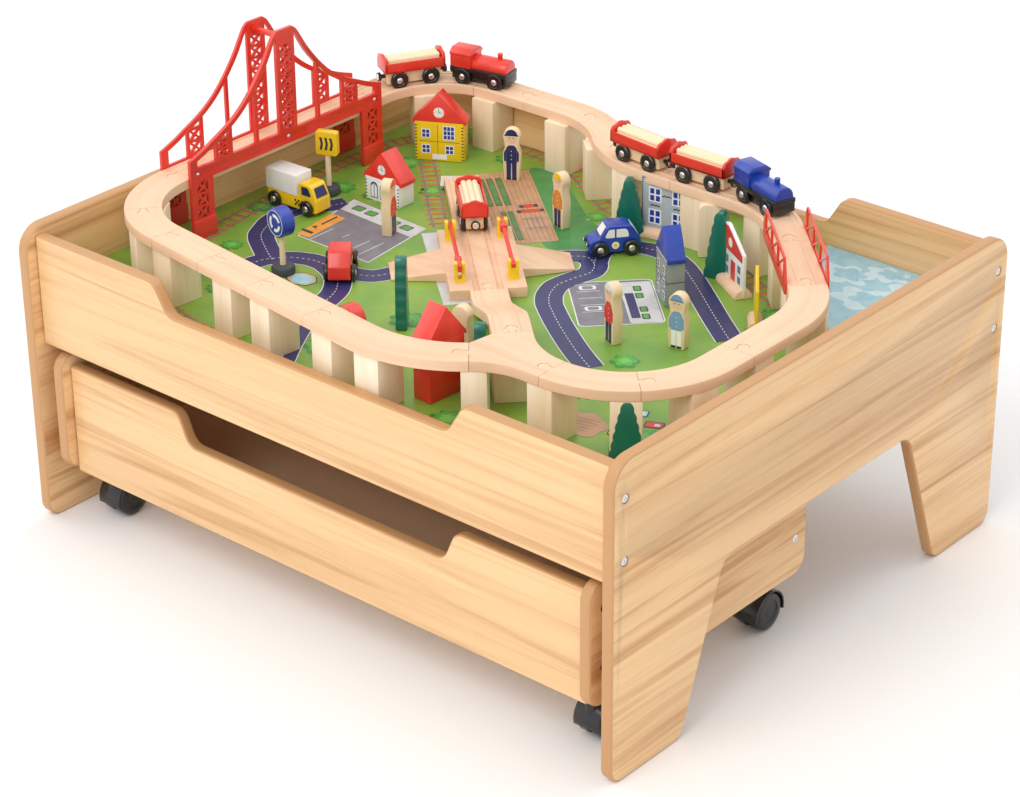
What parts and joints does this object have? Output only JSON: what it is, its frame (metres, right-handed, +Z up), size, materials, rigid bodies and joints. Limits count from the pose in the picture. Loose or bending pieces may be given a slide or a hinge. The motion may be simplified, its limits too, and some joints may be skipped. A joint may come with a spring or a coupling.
{
  "type": "train table",
  "caption": "Wooden play table with a raised toy railway, bridge, level crossing, trains, cars and houses, over a rolling storage drawer.",
  "frame": {"origin": "on the floor under the middle of the table", "axes": "+X along the long side to the right, -Y towards the side the drawer opens to, +Z up"},
  "size_m": [0.84, 0.6834, 0.503],
  "materials": {
    "beech": "smooth unpainted beech",
    "black_plastic": "black moulded plastic",
    "blue_paint": "glossy blue paint on wood",
    "grey_paint": "satin grey paint on wood",
    "oak_laminate": "printed oak-look laminate on board, satin",
    "pine_block": "sawn pine, fine sanded",
    "printed_board": "board printed with grass, roads and rails",
    "red_paint": "glossy red paint on wood, or red moulding on the bridge",
    "white_paint": "satin white paint on wood",
    "yellow_paint": "glossy yellow paint on wood"
  },
  "bodies": {
    "table": {"back_board": "oak_laminate", "bridge_deck": "beech", "bridge_truss_far": "red_paint", "bridge_truss_near": "red_paint", "car_blue": "blue_paint", "car_red": "red_paint", "crossing_deck": "beech", "end_panel_left": "oak_laminate", "end_panel_right": "oak_laminate", "engine_blue": "blue_paint", "engine_red": "red_paint", "front_board": "oak_laminate", "house_red": "red_paint", "house_white": "white_paint", "house_yellow": "yellow_paint", "play_board": "printed_board", "ramp_track": "beech", "tower_grey": "grey_paint", "track_back": "beech", "track_front": "beech", "track_right": "beech", "track_switch": "beech", "truck_yellow": "yellow_paint", "wagon_blue_train_front": "red_paint", "wagon_blue_train_rear": "red_paint", "wagon_crossing": "red_paint", "wagon_red_train": "red_paint"},
    "drawer": {"drawer_front": "oak_laminate", "drawer_back": "oak_laminate", "drawer_end_left": "oak_laminate", "drawer_end_right": "oak_laminate", "drawer_floor": "pine_block"},
    "caster_front_left": {"caster_hood_front_left": "black_plastic"},
    "caster_wheels_front_left": {"caster_wheels_front_left": "black_plastic"},
    "caster_front_right": {"caster_hood_front_right": "black_plastic"},
    "caster_wheels_front_right": {"caster_wheels_front_right": "black_plastic"},
    "caster_back_left": {"caster_hood_back_left": "black_plastic"},
    "caster_wheels_back_left": {"caster_wheels_back_left": "black_plastic"},
    "caster_back_right": {"caster_hood_back_right": "black_plastic"},
    "caster_wheels_back_right": {"caster_wheels_back_right": "black_plastic"},
    "car_blue_wheels_front": {"car_blue_wheels_front": "black_plastic"},
    "car_blue_wheels_rear": {"car_blue_wheels_rear": "black_plastic"},
    "car_red_wheels_front": {"car_red_wheels_front": "black_plastic"},
    "car_red_wheels_rear": {"car_red_wheels_rear": "black_plastic"},
    "engine_blue_wheels_front": {"engine_blue_wheels_front": "black_plastic"},
    "engine_blue_wheels_rear": {"engine_blue_wheels_rear": "black_plastic"},
    "engine_red_wheels_front": {"engine_red_wheels_front": "black_plastic"},
    "engine_red_wheels_rear": {"engine_red_wheels_rear": "black_plastic"},
    "truck_yellow_wheels_front": {"truck_yellow_wheels_front": "black_plastic"},
    "truck_yellow_wheels_rear": {"truck_yellow_wheels_rear": "black_plastic"},
    "wagon_blue_train_front_wheels_front": {"wagon_blue_train_front_wheels_front": "black_plastic"},
    "wagon_blue_train_front_wheels_rear": {"wagon_blue_train_front_wheels_rear": "black_plastic"},
    "wagon_blue_train_rear_wheels_front": {"wagon_blue_train_rear_wheels_front": "black_plastic"},
    "wagon_blue_train_rear_wheels_rear": {"wagon_blue_train_rear_wheels_rear": "black_plastic"},
    "wagon_crossing_wheels_front": {"wagon_crossing_wheels_front": "black_plastic"},
    "wagon_crossing_wheels_rear": {"wagon_crossing_wheels_rear": "black_plastic"},
    "wagon_red_train_wheels_front": {"wagon_red_train_wheels_front": "black_plastic"},
    "wagon_red_train_wheels_rear": {"wagon_red_train_wheels_rear": "black_plastic"},
    "gate_arm_left": {"gate_arm_left": "red_paint"},
    "gate_arm_right": {"gate_arm_right": "red_paint"}
  },
  "joints": [
    {"name": "drawer_slide", "type": "slide", "parent": "table", "child": "drawer", "axis": [0, -1, 0], "range_m": [0, 0.3]},
    {"name": "caster_swivel_front_left", "type": "hinge", "parent": "drawer", "child": "caster_front_left", "pos_m": [-0.352, -0.287, 0], "axis": [0, 0, 1], "continuous": true},
    {"name": "caster_roll_front_left", "type": "hinge", "parent": "caster_front_left", "child": "caster_wheels_front_left", "pos_m": [-0.352, -0.273, 0.023], "axis": [1, 0, 0], "continuous": true},
    {"name": "caster_swivel_front_right", "type": "hinge", "parent": "drawer", "child": "caster_front_right", "pos_m": [0.352, -0.287, 0], "axis": [0, 0, 1], "continuous": true},
    {"name": "caster_roll_front_right", "type": "hinge", "parent": "caster_front_right", "child": "caster_wheels_front_right", "pos_m": [0.352, -0.273, 0.023], "axis": [1, 0, 0], "continuous": true},
    {"name": "caster_swivel_back_left", "type": "hinge", "parent": "drawer", "child": "caster_back_left", "pos_m": [-0.352, -0.022, 0], "axis": [0, 0, 1], "continuous": true},
    {"name": "caster_roll_back_left", "type": "hinge", "parent": "caster_back_left", "child": "caster_wheels_back_left", "pos_m": [-0.352, -0.008, 0.023], "axis": [1, 0, 0], "continuous": true},
    {"name": "caster_swivel_back_right", "type": "hinge", "parent": "drawer", "child": "caster_back_right", "pos_m": [0.352, -0.022, 0], "axis": [0, 0, 1], "continuous": true},
    {"name": "caster_roll_back_right", "type": "hinge", "parent": "caster_back_right", "child": "caster_wheels_back_right", "pos_m": [0.352, -0.008, 0.023], "axis": [1, 0, 0], "continuous": true},
    {"name": "car_blue_wheels_front_roll", "type": "hinge", "parent": "table", "child": "car_blue_wheels_front", "pos_m": [0.01552, 0.13102, 0.3013], "axis": [0.788, -0.6157, 0], "continuous": true},
    {"name": "car_blue_wheels_rear_roll", "type": "hinge", "parent": "table", "child": "car_blue_wheels_rear", "pos_m": [0.03768, 0.15938, 0.3013], "axis": [0.788, -0.6157, 0], "continuous": true},
    {"name": "car_red_wheels_front_roll", "type": "hinge", "parent": "table", "child": "car_red_wheels_front", "pos_m": [-0.1805, -0.07915, 0.3013], "axis": [-0.7694, -0.6388, 0], "continuous": true},
    {"name": "car_red_wheels_rear_roll", "type": "hinge", "parent": "table", "child": "car_red_wheels_rear", "pos_m": [-0.1575, -0.10685, 0.3013], "axis": [-0.7694, -0.6388, 0], "continuous": true},
    {"name": "engine_blue_wheels_front_roll", "type": "hinge", "parent": "table", "child": "engine_blue_wheels_front", "pos_m": [0.20208, 0.20982, 0.3758], "axis": [0.3096, 0.9509, 0], "continuous": true},
    {"name": "engine_blue_wheels_rear_roll", "type": "hinge", "parent": "table", "child": "engine_blue_wheels_rear", "pos_m": [0.16025, 0.22344, 0.3758], "axis": [0.3096, 0.9509, 0], "continuous": true},
    {"name": "engine_red_wheels_front_roll", "type": "hinge", "parent": "table", "child": "engine_red_wheels_front", "pos_m": [-0.27475, 0.29954, 0.3758], "axis": [-0.2094, 0.9778, 0], "continuous": true},
    {"name": "engine_red_wheels_rear_roll", "type": "hinge", "parent": "table", "child": "engine_red_wheels_rear", "pos_m": [-0.31777, 0.29033, 0.3758], "axis": [-0.2094, 0.9778, 0], "continuous": true},
    {"name": "truck_yellow_wheels_front_roll", "type": "hinge", "parent": "table", "child": "truck_yellow_wheels_front", "pos_m": [-0.30601, 0.00787, 0.3013], "axis": [-0.0349, 0.9994, 0], "continuous": true},
    {"name": "truck_yellow_wheels_rear_roll", "type": "hinge", "parent": "table", "child": "truck_yellow_wheels_rear", "pos_m": [-0.35598, 0.00613, 0.3013], "axis": [-0.0349, 0.9994, 0], "continuous": true},
    {"name": "wagon_blue_train_front_wheels_front_roll", "type": "hinge", "parent": "table", "child": "wagon_blue_train_front_wheels_front", "pos_m": [0.11298, 0.22452, 0.3758], "axis": [0, 1, 0], "continuous": true},
    {"name": "wagon_blue_train_front_wheels_rear_roll", "type": "hinge", "parent": "table", "child": "wagon_blue_train_front_wheels_rear", "pos_m": [0.07298, 0.22452, 0.3758], "axis": [0, 1, 0], "continuous": true},
    {"name": "wagon_blue_train_rear_wheels_front_roll", "type": "hinge", "parent": "table", "child": "wagon_blue_train_rear_wheels_front", "pos_m": [0.02407, 0.22451, 0.3758], "axis": [0.1122, 0.9937, 0], "continuous": true},
    {"name": "wagon_blue_train_rear_wheels_rear_roll", "type": "hinge", "parent": "table", "child": "wagon_blue_train_rear_wheels_rear", "pos_m": [-0.01567, 0.229, 0.3758], "axis": [0.1122, 0.9937, 0], "continuous": true},
    {"name": "wagon_crossing_wheels_front_roll", "type": "hinge", "parent": "table", "child": "wagon_crossing_wheels_front", "pos_m": [-0.14963, 0.10245, 0.3118], "axis": [-0.682, -0.7314, 0], "continuous": true},
    {"name": "wagon_crossing_wheels_rear_roll", "type": "hinge", "parent": "table", "child": "wagon_crossing_wheels_rear", "pos_m": [-0.12037, 0.07517, 0.3118], "axis": [-0.682, -0.7314, 0], "continuous": true},
    {"name": "wagon_red_train_wheels_front_roll", "type": "hinge", "parent": "table", "child": "wagon_red_train_wheels_front", "pos_m": [-0.35678, 0.26056, 0.3758], "axis": [-0.88, 0.475, 0], "continuous": true},
    {"name": "wagon_red_train_wheels_rear_roll", "type": "hinge", "parent": "table", "child": "wagon_red_train_wheels_rear", "pos_m": [-0.37578, 0.22536, 0.3758], "axis": [-0.88, 0.475, 0], "continuous": true},
    {"name": "gate_arm_left_swing", "type": "hinge", "parent": "table", "child": "gate_arm_left", "pos_m": [-0.03884, -0.0412, 0.3205], "axis": [0.682, 0.7314, 0], "range_deg": [0, 75]},
    {"name": "gate_arm_right_swing", "type": "hinge", "parent": "table", "child": "gate_arm_right", "pos_m": [-0.07905, 0.07697, 0.3205], "axis": [-0.682, -0.7314, 0], "range_deg": [0, 75]}
  ]
}
